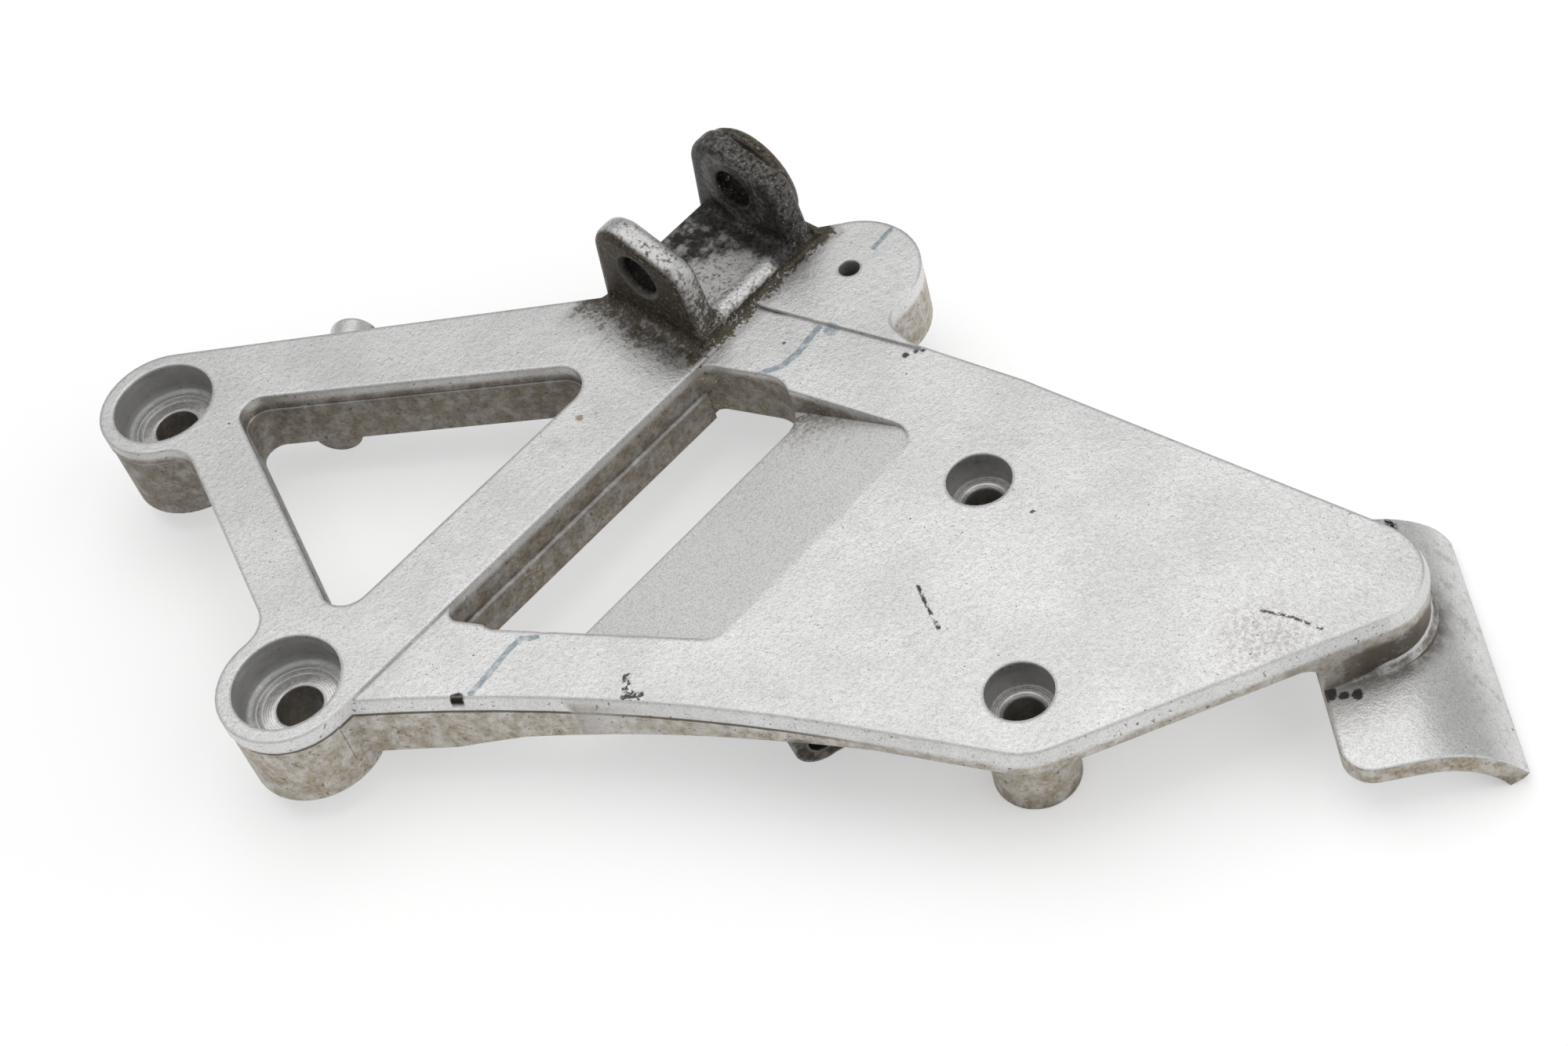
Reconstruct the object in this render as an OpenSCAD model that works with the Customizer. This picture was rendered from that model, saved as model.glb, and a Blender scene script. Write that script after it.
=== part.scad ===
// Footrest hanger of a motorcycle, one aluminium casting.
// X runs along the footrest pin, Y across it toward the upper frame bolt, and
// Z points outward, away from the motorcycle. The origin is the centre of the
// lower frame bolt's bore, on the face that seats against the frame.

/* [Frame bolts] */
// Distance between the two frame bolts
bolt_pitch = 95.3; // [90:0.1:100]
// Direction from the lower to the upper frame bolt, from X
bolt_angle = 67.3; // [64:0.1:70]
// Height of the frame bosses, seat to outer face
boss_h = 22.4; // [20:0.2:24]
// Diameter of a frame boss at its outer face
boss_d = 30.8; // [30.6:0.2:32]
// Diameter of a frame boss at its seat
seat_d = 30.2; // [28:0.2:30.4]
// Clearance bore for a frame bolt
bolt_d = 10.5; // [9:0.1:11.5]
// Counterbore for the head of a frame bolt
head_d = 24; // [21:0.2:25]
// Depth of that counterbore
head_depth = 8.2; // [6:0.1:10]

/* [Rails] */
// Depth of the rails of the triangle
rail_t = 16.2; // [14:0.2:18]
// Width of the rail that links the two frame bolts
link_w = 13.4; // [11:0.2:15]
// Width of the strut that runs to the clevis
strut_w = 17.8; // [16:0.2:18.6]

/* [Footrest clevis] */
// Diameter of the pin's bore
pin_d = 10; // [8:0.5:12]
// Gap between the two ears
clevis_gap = 25; // [22:0.5:26]
// Thickness of an ear
ear_t = 7; // [6:0.5:8]
// Height of an ear above the outer face
ear_up = 24.4; // [23.6:0.2:27]
// Rounding of the ears' edges
ear_round = 2.2; // [1:0.2:2.4]
// Height of the pin above the outer face
pin_up = 13.8; // [13:0.2:14.6]
// Distance of the pin from the lower frame bolt, across X
pin_y = 3.6; // [2.6:0.2:4.6]

/* [Plate] */
// Thickness of the plate
plate_t = 5.5; // [5:0.5:7]
// Distance between the two outrigger bolts
out_pitch = 55.1; // [50:0.1:57]
// Direction of the outrigger bolts and of the heel tab, from X
out_angle = 47.2; // [45:0.1:49]
// Clearance bore for an outrigger bolt
out_bolt_d = 8.5; // [7:0.1:9]
// Counterbore for the head of an outrigger bolt
out_head_d = 14; // [12:0.2:15]
// Diameter of an outrigger boss
out_boss_d = 18.2; // [17:0.2:19]
// How far an outrigger boss reaches below the frame seat
out_drop = 6.5; // [4:0.5:8]
// Depth of the ramp where it meets the slot
ramp_depth = 6.5; // [4:0.5:7]
// Width of the sloping band round the plate's rim, seen from above
rim_w = 1.1; // [0.6:0.1:2]
// Height of that band
rim_h = 2.9; // [2:0.1:4]

/* [Heel tab] */
// Width of the heel tab
tab_w = 35.8; // [31:0.2:37]
// Length of the heel tab
tab_l = 59.8; // [55:0.2:62]
// Thickness of the heel tab
tab_t = 4.4; // [3:0.2:5]
// Depth of the tab's flat face below the outer face
tab_drop = 15; // [13:0.5:17]
// Radius of the tab's turned-down side
tab_r = 24; // [20:0.5:28]

/* [Hidden] */
$fn = 96;
eps = 0.02;
// Straight sides lie this far inside the circles they touch, so both cross cleanly.
tuck = 0.01;
cast_col = [0.80, 0.80, 0.79];
grime_col = [0.45, 0.41, 0.35];

// Heights: the plate lies a little below the outer face of the rails.
top_z = boss_h;
step_h = 0.8;
plate_z = top_z - step_h;
rail_z = top_z - rail_t;
slab_z = plate_z - plate_t;
boss_r = boss_d / 2;
head_r = head_d / 2;
// The mould's parting line runs this far below the outer face.
mould_h = 4.4;
mould_z = top_z - mould_h;

// Frame bolts
upper_bolt = bolt_pitch * [cos(bolt_angle), sin(bolt_angle)];
// The link rail lies just inside the line of the frame bolts.
link_in = 0.7;
link_out = link_in + link_w;

// Clevis
near_out = 117;
near_in = near_out + ear_t;
far_in = near_in + clevis_gap;
far_out = far_in + ear_t;
clevis_back = 19.2;
clevis_front = -12.4;
base_back = clevis_back - 1.7;
lip_up = 3.4;
floor_z = top_z + lip_up - 0.4;
pin_z = top_z + pin_up;
foot_r = 3;
pad_r = 13.7;
pad_out = 2;

// Strut edges
strut_low = -boss_r;
strut_high = strut_low + strut_w;

// Outrigger bolts
out_low = [83.1, -129.4];
out_high = out_low + out_pitch * [cos(out_angle), sin(out_angle)];

// Rounded end of the plate, by the heel tab
end_c = [141.8, -166.8];
end_r = 13.6;
// Rounded corner of the plate beside the lower outrigger bolt
low_c = [83.6, -130.2];
low_r = 15.6;
// Right edge of the plate, and the lobe beside the clevis
edge_top = [143.1, -46];
edge_mid = [148.2, -79.2];
lobe_c = [152.2, -26.2];
lobe_r = 16;
lobe_t = 16;
small_hole = [152.7, -25.2];
small_d = 5;

// Heel tab, in its own axes: e across it and f along it
tab_turn = out_angle - 90;
tab_e = 206.4;
tab_f = -62.4;
tab_flat = 14;

// Outer edge of the arm: a shallow hollow arc between two points
arm_top = [10.7, -24.7];
arm_end = [60.2, -114.4];
arm_r = 410;

function unit(a) = [cos(a), sin(a)];
function heading(v) = atan2(v[1], v[0]);
function turned(v) = [v[1], -v[0]];
function dir(p, q) = (q - p) / norm(q - p);
function dot(a, b) = a[0] * b[0] + a[1] * b[1];

// Point where a line touches circle c: the line from circle p to circle q.
function touch(c, r, p, q, rp, rq) =
    let (d = dir(p, q), k = (rp - rq) / norm(q - p),
         n = k * d + sqrt(1 - k * k) * turned(d))
    c + (r - tuck) * n;

// Solid outline round circles [x, y, r] given anticlockwise.
module belt(cs) {
    n = len(cs);
    polygon([for (i = [0 : n - 1])
        let (h = (i + n - 1) % n, j = (i + 1) % n,
             ph = [cs[h][0], cs[h][1]],
             pi = [cs[i][0], cs[i][1]],
             pj = [cs[j][0], cs[j][1]])
        each [touch(pi, cs[i][2], ph, pi, cs[h][2], cs[i][2]),
              touch(pi, cs[i][2], pi, pj, cs[i][2], cs[j][2])]]);
    for (c = cs) translate([c[0], c[1]]) circle(r = c[2]);
}

// Concave corner of radius r between a circle and the straight line x = w,
// on the side away from the line's body, for a line that leaves upward.
module flare(circle_r, w, r) {
    f = [w - r + tuck, sqrt(pow(circle_r + r - 2 * tuck, 2) - pow(w - r + tuck, 2))];
    difference() {
        polygon([[0, 0], [w + 1, 0], [w + 1, f[1]], f]);
        translate(f) circle(r = r);
    }
}

// End of the upper rail's outer edge, and its tangent point on the upper boss.
rail_end = [116, 19.2];
function rail_touch(r) =
    let (v = rail_end - upper_bolt, d = norm(v), a = atan2(v[1], v[0]) + acos(r / d))
    upper_bolt + (r - tuck) * unit(a);

// Outline of the triangle's sheet between bosses of radius r.
module triangle_outline(r, ledge) {
    difference() {
        union() {
            polygon([[0, strut_low + tuck], [near_out + 2, strut_low + tuck],
                     [near_out + 2, clevis_back - 1], rail_end, rail_touch(r),
                     upper_bolt, [30, 60], [10, 10]]);
            rotate(bolt_angle - 90) {
                translate([link_in, 0]) square([link_w, bolt_pitch]);
                flare(r, link_in, 8);
                translate([0, bolt_pitch]) mirror([0, 1]) flare(r, link_in, 8);
            }
        }
        window_outline(ledge);
        // what lies outside the link rail
        rotate(bolt_angle - 90)
            translate([link_in - 12, 23]) square([12, bolt_pitch - 46]);
    }
}

// Triangle window with three rounded corners, drawn smaller all round by g.
module window_outline(g = 0) {
    r1 = 6;
    r2 = 5;
    r3 = 6.5;
    // corner on the link rail, by the upper boss
    up = rot2([link_out + r2, bolt_pitch - 17.5], bolt_angle - 90);
    low = link_low(r1);
    belt([[low[0], low[1], r1 - g], [90, strut_high + r3, r3 - g], [up[0], up[1], r2 - g]]);
}

function rot2(p, a) = [p[0] * cos(a) - p[1] * sin(a), p[0] * sin(a) + p[1] * cos(a)];
// Centre of the window's corner between the link rail and the strut.
function link_low(r) =
    let (a = bolt_angle - 90, x = link_out + r, y = (strut_high + r - x * sin(a)) / cos(a))
    rot2([x, y], a);

// Rails of the triangle, in two layers that meet at the parting line.
module rails() {
    color(cast_col) {
        translate([0, 0, mould_z]) linear_extrude(mould_h) triangle_outline(boss_r, 0);
        translate([0, 0, rail_z]) linear_extrude(mould_z - rail_z)
            triangle_outline(seat_d / 2, 0.5);
        // ledge left by the mould along the strut, in the slot
        translate([14, strut_low - 1, rail_z - 0.2])
            cube([98, strut_w / 2, rail_t - 8.1]);
    }
}

// Frame boss: a tapered post under a flat collar, revolved.
module frame_boss() {
    color(cast_col)
    rotate_extrude() polygon([
        [0, 0], [seat_d / 2 - 0.5, 0], [seat_d / 2, 0.5],
        [seat_d / 2, boss_h - mould_h], [boss_r, boss_h - mould_h + 0.6],
        [boss_r, boss_h], [0, boss_h]]);
}

// Cast counterbore, spot face and clearance bore of a frame boss.
module frame_bore() {
    translate([0, 0, -1]) cylinder(d = bolt_d, h = boss_h + 2);
    translate([0, 0, boss_h - head_depth]) rotate_extrude() polygon([
        [0, -0.6], [9, -0.6], [9, 0], [head_r - 1.6, 0], [head_r - 0.5, 0.4],
        [head_r, 1.6], [head_r, head_depth + 1], [0, head_depth + 1]]);
}

// Centre of the arc of radius r from p to q that bows to the left.
function arc_centre(p, q, r) =
    (p + q) / 2 + sqrt(r * r - pow(norm(q - p) / 2, 2)) * turned(dir(p, q));
arm_c = arc_centre(arm_top, arm_end, arm_r);
arm_a0 = heading(arm_end - arm_c);
arm_a1 = heading(arm_top - arm_c);

// Outward normals of the two straight runs of the plate's right edge.
edge_n1 = turned(dir(edge_mid, edge_top));
end_touch = touch(end_c, end_r, end_c, edge_mid, end_r, 0);
edge_n2 = turned(dir(end_touch, edge_mid));

// Outline of the plate and the arm that ties it to the lower boss.
module plate_outline() {
    difference() {
        union() {
            polygon([[0, -4], [-2, -10], arm_top - [6, 0], arm_end,
                     touch(low_c, low_r, arm_end, low_c, 0, low_r),
                     low_c, touch(low_c, low_r, low_c, end_c, low_r, end_r),
                     touch(end_c, end_r, low_c, end_c, low_r, end_r),
                     end_c, end_touch, edge_mid, edge_top, [134, -19.2], [131, -11]]);
            translate(low_c) circle(r = low_r);
            translate(end_c) circle(r = end_r);
        }
        translate(arm_c) circle(r = arm_r, $fn = 480);
    }
}

// Edge where the raised lobe steps down to the plate.
step_top = [133.4, -15];
step_end = [142.4, -55];

// Concave neck between the plate's edge and the lobe.
module neck_outline() {
    r = 6;
    f = [149.4, -48.2];
    difference() {
        polygon([lobe_c, f, [143, -48.6], step_end, step_top]);
        translate(f) circle(r = r);
    }
}

// Slot between the strut, the arm and the plate.
module slot_outline() {
    belt([[45.5, -34.6, 6], [111.4, -32.6, 8], [111, strut_low - 4, 4],
          [34.8, strut_low - 3, 3]]);
}

// Outline of the sloping floor beside the slot.
module ramp_outline() {
    belt([[62.8, -64.2, 6], [117.4, -64.2, 6], [111.5, -24, 4], [38.4, -26, 4]]);
}

// Sloping floor: a wedge from flush at its lower edge to full depth at the slot.
module ramp_cut() {
    ramp_y0 = -70.2;
    ramp_y1 = -40.6;
    slope = ramp_depth / (ramp_y1 - ramp_y0);
    intersection() {
        linear_extrude(plate_z + 5) ramp_outline();
        rotate([90, 0, 90]) linear_extrude(140) polygon([
            [ramp_y0, plate_z], [ramp_y1, plate_z - ramp_depth],
            [ramp_y1 + 26, plate_z - ramp_depth - 26 * slope],
            [ramp_y1 + 26, plate_z + 4], [ramp_y0, plate_z + 4]]);
    }
}

// Thickened wall that follows the ramp on the inner side.
module ramp_backing() {
    color(cast_col)
    intersection() {
        translate([0, 0, rail_z]) linear_extrude(plate_z - rail_z) plate_outline();
        rotate([90, 0, 90]) translate([0, 0, 36]) linear_extrude(100) polygon([
            [-76, slab_z + 1], [-70, slab_z - 1], [-40.6, slab_z - ramp_depth + 1],
            [-30, slab_z - ramp_depth + 1], [-30, slab_z + 1]]);
    }
}

// Plate with its sloping arm and its neck up to the clevis.
module plate() {
    color(cast_col) {
        translate([0, 0, slab_z]) linear_extrude(plate_t) plate_outline();
        // arm: full depth at the lower boss, thinning toward the plate
        intersection() {
            translate([0, 0, rail_z - 2]) linear_extrude(plate_z - rail_z + 1) difference() {
                plate_outline();
                translate([60, -90]) square([110, 90]);
                translate([66, -220]) square([110, 120]);
            }
            rotate(-59) rotate([90, 0, 0]) translate([0, 0, -60]) linear_extrude(120)
                polygon([[0, rail_z - 1.7], [34, rail_z - 1.1], [50, rail_z + 2.6],
                         [79, rail_z + 5.6], [103, rail_z + 7.6], [128, slab_z + 0.2],
                         [128, plate_z], [0, plate_z]]);
        }
        // neck beside the slot
        translate([0, 0, rail_z + 1]) linear_extrude(plate_z - rail_z - 1)
            polygon([[108, -60], [123, -70], [139, -60], edge_top, [134, -19.2],
                     [132, -8], [108, -8]]);
    }
}

// Lobe with its small tapped hole, level with the rails.
module lobe() {
    color(cast_col) {
        translate([lobe_c[0], lobe_c[1], top_z - lobe_t]) cylinder(r = lobe_r, h = lobe_t);
        translate([0, 0, top_z - lobe_t]) linear_extrude(lobe_t)
            polygon([lobe_c, lobe_c + lobe_r * unit(36.7), [far_out, -7],
                     [far_out - 6, 4], [134, 4], step_top, [141, -48.8]]);
        translate([0, 0, slab_z]) linear_extrude(top_z - slab_z) neck_outline();
    }
}

// Base of the clevis: a machined floor behind a rounded front lip.
module clevis_base() {
    w = far_out - near_out;
    lip_r = 2.2;
    lip_z = top_z + lip_up;
    color(cast_col) {
        difference() {
            union() {
                translate([near_out, clevis_front, rail_z])
                    cube([w, base_back - clevis_front, lip_z - lip_r - rail_z]);
                translate([near_out, clevis_front + lip_r, lip_z - lip_r - eps])
                    cube([w, base_back - clevis_front - 2 * lip_r, lip_r + eps]);
                for (y = [clevis_front + lip_r, base_back - lip_r])
                    translate([near_out, y, lip_z - lip_r]) rotate([0, 90, 0])
                        cylinder(r = lip_r, h = w);
            }
            translate([near_in - 1, clevis_front + 4.2, floor_z])
                cube([clevis_gap + 2, base_back - clevis_front, 5]);
        }
        // fillet down to the plate in front
        foot([near_out, clevis_front, plate_z], 0, w, 2.4);
    }
}

// Concave fillet strip of radius r: its corner runs from p along angle a.
module foot(p, a, len, r) {
    translate(p) rotate(a) difference() {
        translate([0, -r, -1]) cube([len, r + 0.5, r + 1]);
        translate([-1, -r, r]) rotate([0, 90, 0]) cylinder(r = r + tuck, h = len + 2);
    }
}

// One ear, drawn flat in Y and Z: it leans up to a higher rear corner.
module ear() {
    rear_r = 8.2;
    front_r = 6.2;
    rear = [pin_y + 5.1, ear_up - rear_r];
    front = [pin_y - 7.4, ear_up - 4 - front_r];
    foot_f = [clevis_front, 0];
    foot_b = [clevis_back, 0];
    b0 = touch(rear, rear_r, foot_b, rear, 0, rear_r);
    b1 = touch(rear, rear_r, rear, front, rear_r, front_r);
    f0 = touch(front, front_r, rear, front, rear_r, front_r);
    f1 = touch(front, front_r, front, foot_f, front_r, 0);
    difference() {
        linear_extrude(ear_t) {
            polygon([foot_f + [0, -2], [base_back - 1, -9], foot_b + [0, -2], foot_b, b0, rear,
                     b1, f0, front, f1, foot_f]);
            translate(rear) circle(r = rear_r);
            translate(front) circle(r = front_r);
        }
        // the rounded edges, on both faces
        translate([0, 0, ear_t / 2]) for (side = [0, 1]) mirror([0, 0, side]) {
            edge_run(foot_b, b0, ear_t / 2) round_section(ear_round);
            corner_run(rear, rear_r, heading(b0 - rear), heading(b1 - rear), ear_t / 2)
                round_section(ear_round);
            edge_run(b1, f0, ear_t / 2) round_section(ear_round);
            corner_run(front, front_r, heading(f0 - front), heading(f1 - front), ear_t / 2)
                round_section(ear_round);
            edge_run(f1, foot_f, ear_t / 2) round_section(ear_round);
        }
    }
}

// Two ears with their foot fillets.
module ears() {
    d = base_back - clevis_front;
    color(cast_col) {
        for (x = [near_out, far_in])
            translate([x, 0, top_z]) rotate([90, 0, 90]) ear();
        // round pad on the far ear's outer side
        translate([far_out - 1.2, pin_y + 1.4, pin_z - 3]) rotate([0, 90, 0])
            rotate_extrude() polygon([[0, 0], [pad_r - 0.5, 0], [pad_r, 0.6], [pad_r, 1.8],
                                      [pad_r - 0.8, 2.8], [pad_r - 2, 3.2], [0, 3.2]]);
        // fillets at the outer feet of the ears
        foot([near_out, base_back - 0.6, top_z], -90, d - 0.6, foot_r);
        foot([far_out, clevis_front, top_z], 90, 14, foot_r);
        // fillets at the inner feet of the ears
        foot([near_in, clevis_front + 2.2, floor_z], 90, d - 4.4, 2);
        foot([far_in, base_back - 2.2, floor_z], -90, d - 4.4, 2);
    }
}

// Pin bore through both ears, its countersinks and the machined floor.
module clevis_cuts() {
    translate([near_out - 5, pin_y, pin_z]) rotate([0, 90, 0])
        cylinder(d = pin_d, h = far_out - near_out + 12);
    translate([near_out, pin_y, pin_z]) rotate([0, 90, 0]) {
        cylinder(d1 = pin_d + 2, d2 = pin_d, h = 1);
        translate([0, 0, -1 + eps]) cylinder(d = pin_d + 2, h = 1);
    }
    translate([far_out + pad_out, pin_y, pin_z]) rotate([0, -90, 0]) {
        cylinder(d1 = pin_d + 2, d2 = pin_d, h = 1);
        translate([0, 0, -1 + eps]) cylinder(d = pin_d + 2, h = 1);
    }
}

// Outrigger boss on the inner side.
module outrigger_boss() {
    color(cast_col)
    translate([0, 0, -out_drop]) rotate_extrude() polygon([
        [0, 0], [out_boss_d / 2 - 0.4, 0], [out_boss_d / 2, 0.4],
        [out_boss_d / 2, plate_z + out_drop - 1], [0, plate_z + out_drop - 1]]);
}

// Counterbore, countersink and clearance bore of an outrigger boss.
module outrigger_bore() {
    floor_h = top_z - 8.2;
    translate([0, 0, -out_drop - 1]) cylinder(d = out_bolt_d, h = top_z + out_drop + 2);
    translate([0, 0, floor_h]) cylinder(d = out_head_d, h = 20);
    translate([0, 0, floor_h - 0.8]) cylinder(d1 = out_bolt_d, d2 = out_bolt_d + 1.6, h = 0.8 + eps);
}

// Cross stub under the upper rail, square to it.
module rail_stub() {
    d = dir(rail_touch(boss_r), rail_end);
    n = [-d[1], d[0]];
    p = [59.4, 57.4];
    color(cast_col)
    translate([p[0], p[1], top_z - 14.5]) rotate([0, 90, atan2(n[1], n[0])])
        cylinder(d = 11.6, h = 31.5);
}

// Round lug with its cross bore, under the plate's outer edge.
module edge_lug() {
    r = 6.2;
    h = 12.7;
    color(grime_col)
    translate([58.9, -94.3, top_z - h]) rotate(bolt_angle - 90) difference() {
        rotate([90, 0, 0]) translate([0, 0, -3]) linear_extrude(6) {
            circle(r = r);
            translate([-r, 0]) square([r + 4.6, 7]);
            translate([0, -r + 0.3]) square([3.4, r]);
            translate([0, -r + 1.5]) square([4.6, r + 4]);
            translate([3.4, -r + 1.5]) circle(r = 1.2);
        }
        rotate([90, 0, 0]) translate([0, 0, -5]) cylinder(d = 6, h = 10);
    }
}

// Heel tab: flat, then turned down along one side.
module heel_tab() {
    z0 = top_z - tab_drop;
    arc_e = tab_e + tab_flat;
    reach = tab_w - tab_flat;
    color(cast_col)
    rotate(tab_turn) intersection() {
        translate([0, tab_f + tab_l, 0]) rotate([90, 0, 0]) linear_extrude(tab_l) {
            translate([tab_e, z0 - tab_t]) square([tab_flat, tab_t]);
            intersection() {
                translate([arc_e, z0 - tab_r]) difference() {
                    circle(r = tab_r);
                    circle(r = tab_r - tab_t);
                }
                polygon([[arc_e, z0 - tab_r], [arc_e + 2 * reach, z0 - tab_r + 2 * reach * tan(31)],
                         [arc_e + reach, z0 + 10], [arc_e, z0 + 10]]);
            }
        }
        translate([0, 0, z0 - 40]) linear_extrude(60)
            belt([[tab_e + 6, tab_f + 6, 6], [tab_e + tab_w - 3, tab_f + 3, 3],
                  [tab_e + tab_w - 4.9, tab_f + tab_l - 5.8, 5.8],
                  [tab_e + 3, tab_f + tab_l - 3, 3]]);
    }
}

// Wall that carries the tab from the end of the plate.
module tab_wall() {
    z0 = top_z - tab_drop;
    color(cast_col)
    intersection() {
        union() {
            translate([0, 0, z0 - tab_t + 1]) linear_extrude(plate_z - z0 + tab_t - 2)
                plate_outline();
            // fillet at the foot of the wall
            translate([end_c[0], end_c[1], z0 - 2]) rotate_extrude() polygon([
                [0, 0], [end_r + 1.4, 0], [end_r + 1.4, 2], [end_r + 0.6, 2.5], [end_r, 3.6], [0, 3.6]]);
        }
        rotate(tab_turn) translate([0, tab_f + tab_l - 1, 0]) rotate([90, 0, 0])
            linear_extrude(tab_l - 5) difference() {
                translate([tab_e - 4.6, z0 - tab_t]) square([tab_w + 0.1, 40]);
                // corner under the plate, with its fillet
                translate([tab_e - 10, z0 - tab_t - 1]) square([10, slab_z - z0 + tab_t - 3.9]);
                translate([tab_e - 5, slab_z - 4.95]) circle(r = 5 + tuck);
            }
    }
}

// Section of what the rim's sloping band cuts away: the edge is at 0.
module band_section() {
    over = 0.3;
    lean = rim_w / rim_h;
    polygon([[-rim_w - over * lean, over], [over * lean, -rim_h - over],
             [3, -rim_h - over], [3, over]]);
}

// Section of what a rounding of radius r cuts away, in four short flats.
module round_section(r) {
    p = [for (i = [0 : 4]) [-r + r * sin(22.5 * i), -r + r * cos(22.5 * i)]];
    polygon(concat([p[0] + 0.3 * (p[0] - p[1])], [p[1], p[2], p[3]],
                   [p[4] + 0.3 * (p[4] - p[3]), [3, p[4][1]], [3, 1]]));
}

// A section carried along the straight edge from p to q, body on the left,
// below the level z.
module edge_run(p, q, z) {
    translate([p[0], p[1], z]) rotate(heading(q - p)) rotate([90, 0, 90])
        translate([0, 0, -0.4]) linear_extrude(norm(q - p) + 0.8) mirror([1, 0]) children();
}

// A section carried round a convex corner of radius r, from angle a to angle b.
module corner_run(c, r, a, b, z) {
    translate([c[0], c[1], z]) rotate(a) rotate_extrude(angle = b - a)
        translate([r, 0]) children();
}

// Sloping band round the plate, from the lower boss by the tab to the lobe.
module rim_chamfer() {
    p0 = touch(low_c, low_r, arm_end, low_c, 0, low_r);
    p1 = touch(low_c, low_r, low_c, end_c, low_r, end_r);
    p2 = touch(end_c, end_r, low_c, end_c, low_r, end_r);
    a0 = heading(p0 - low_c);
    a1 = heading(p1 - low_c);
    a2 = heading(edge_n2);
    translate([arm_c[0], arm_c[1], plate_z]) rotate(arm_a0 - 0.05)
        rotate_extrude(angle = arm_a1 - arm_a0 + 3, $fn = 720)
            translate([arm_r, 0]) mirror([1, 0]) band_section();
    edge_run(arm_end, p0, plate_z) band_section();
    corner_run(low_c, low_r, a0, a1 + (a1 < a0 ? 360 : 0), plate_z) band_section();
    edge_run(p1, p2, plate_z) band_section();
    corner_run(end_c, end_r, a1, a2, plate_z) band_section();
    edge_run(end_touch, edge_mid, plate_z) band_section();
    edge_run(edge_mid, edge_top, plate_z) band_section();
}

module hanger() {
    difference() {
        union() {
            rails();
            frame_boss();
            translate(upper_bolt) frame_boss();
            difference() {
                union() {
                    plate();
                    ramp_backing();
                    tab_wall();
                }
                ramp_cut();
                translate([0, 0, -1]) linear_extrude(top_z + 5) slot_outline();
                rim_chamfer();
            }
            lobe();
            clevis_base();
            ears();
            translate(out_low) outrigger_boss();
            translate(out_high) outrigger_boss();
            rail_stub();
            edge_lug();
            heel_tab();
        }
        frame_bore();
        translate(upper_bolt) frame_bore();
        translate(out_low) outrigger_bore();
        translate(out_high) outrigger_bore();
        translate([small_hole[0], small_hole[1], top_z - lobe_t - 1])
            cylinder(d = small_d, h = lobe_t + 2);
        clevis_cuts();
    }
}

hanger();
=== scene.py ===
"""Looks of the footrest hanger: cast metal, grime, wear, pen marks, light and camera."""
import math

import bpy
from mathutils import Matrix, Vector


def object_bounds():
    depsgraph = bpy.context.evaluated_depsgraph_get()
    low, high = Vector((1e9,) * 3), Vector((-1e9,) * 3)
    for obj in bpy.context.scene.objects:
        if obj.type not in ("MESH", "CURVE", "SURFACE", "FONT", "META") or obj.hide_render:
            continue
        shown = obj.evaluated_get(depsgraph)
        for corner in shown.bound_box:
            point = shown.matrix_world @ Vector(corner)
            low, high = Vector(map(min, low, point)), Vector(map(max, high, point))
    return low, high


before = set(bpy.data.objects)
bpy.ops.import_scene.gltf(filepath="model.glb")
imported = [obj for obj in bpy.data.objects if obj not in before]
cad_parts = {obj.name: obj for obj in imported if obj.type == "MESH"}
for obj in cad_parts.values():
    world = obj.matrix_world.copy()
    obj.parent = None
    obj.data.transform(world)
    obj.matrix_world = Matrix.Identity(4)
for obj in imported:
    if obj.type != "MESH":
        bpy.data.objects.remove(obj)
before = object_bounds()

MM = 0.001
TOP = 0.0224                        # level of the hanger's outer face

# Places on the hanger, in millimetres in its own axes.
FRAME_BOLTS = [(0, 0), (36.78, 87.92)]
OUTRIGGER_BOLTS = [(83.1, -129.4), (120.54, -88.97)]
PLATE_END = (141.8, -166.8)         # centre of the plate's rounded end
PIN = (3.6, 13.8)                   # footrest pin: y, and height over the outer face
LUG = (58.9, -94.3, -12.7)          # lug under the edge: x, y, height over the outer face
SLOT_X = (31, 124)                  # the slot with its sloping floor, along the strut
SLOT_TOP = -14.6                    # its side along the strut, in y
TAB_TURN = math.radians(-42.8)      # direction in which the heel tab sticks out
TAB_OUT = (math.cos(TAB_TURN), math.sin(TAB_TURN), 0)
TAB_ALONG = (-TAB_OUT[1], TAB_OUT[0], 0)
TAB_START = 201.5                   # distance along TAB_OUT where the tab begins

# Pen lines and scratches: points and width.
PEN_LINES = [
    ([(20.8, -35.8), (26.4, -35.4), (33.3, -34.5), (36.4, -34.7), (38.6, -37.3)], 1.7),
    ([(118.2, -28.3), (122.5, -31.2), (127.6, -31.7), (132.3, -31), (135.6, -30.7)], 1.9),
    ([(160.4, -25.9), (167.1, -25.5)], 1.5),
]
PEN_BLOT = ((136.5, -33.8), 1.7)
INK_SPOTS = [((139.4, -52.9), 0.8), ((141.5, -54.2), 0.6), ((142.5, -55.3), 0.5),
             ((128, -27), 0.4)]
INK_SMUDGE = ([(42, -60.7), (39.7, -62.7), (38.5, -67.6)], 2.3)
INK_CHIPS = [([(38, -63.6), (40.6, -66.2)], 1.6), ([(92.1, -96), (90, -99.4), (86.1, -106.5)], 1.0)]
END_SCRATCH = ([(124, -157), (125.7, -162.1), (126.6, -168.9)], 1.1)
SMEAR = ((118.9, -161.4), 8)
RUST_DOT = ((86.7, -2.7), 0.9)
LOBE_STAIN = ((166, -8), 8)
EDGE_SPOT = ((18.0, -34.0), 1.5)
TAB_DOTS = [((123.9, -174.9), 1.1), ((125.8, -177.1), 1.2), ((122.6, -172.2), 1.9)]

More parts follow.
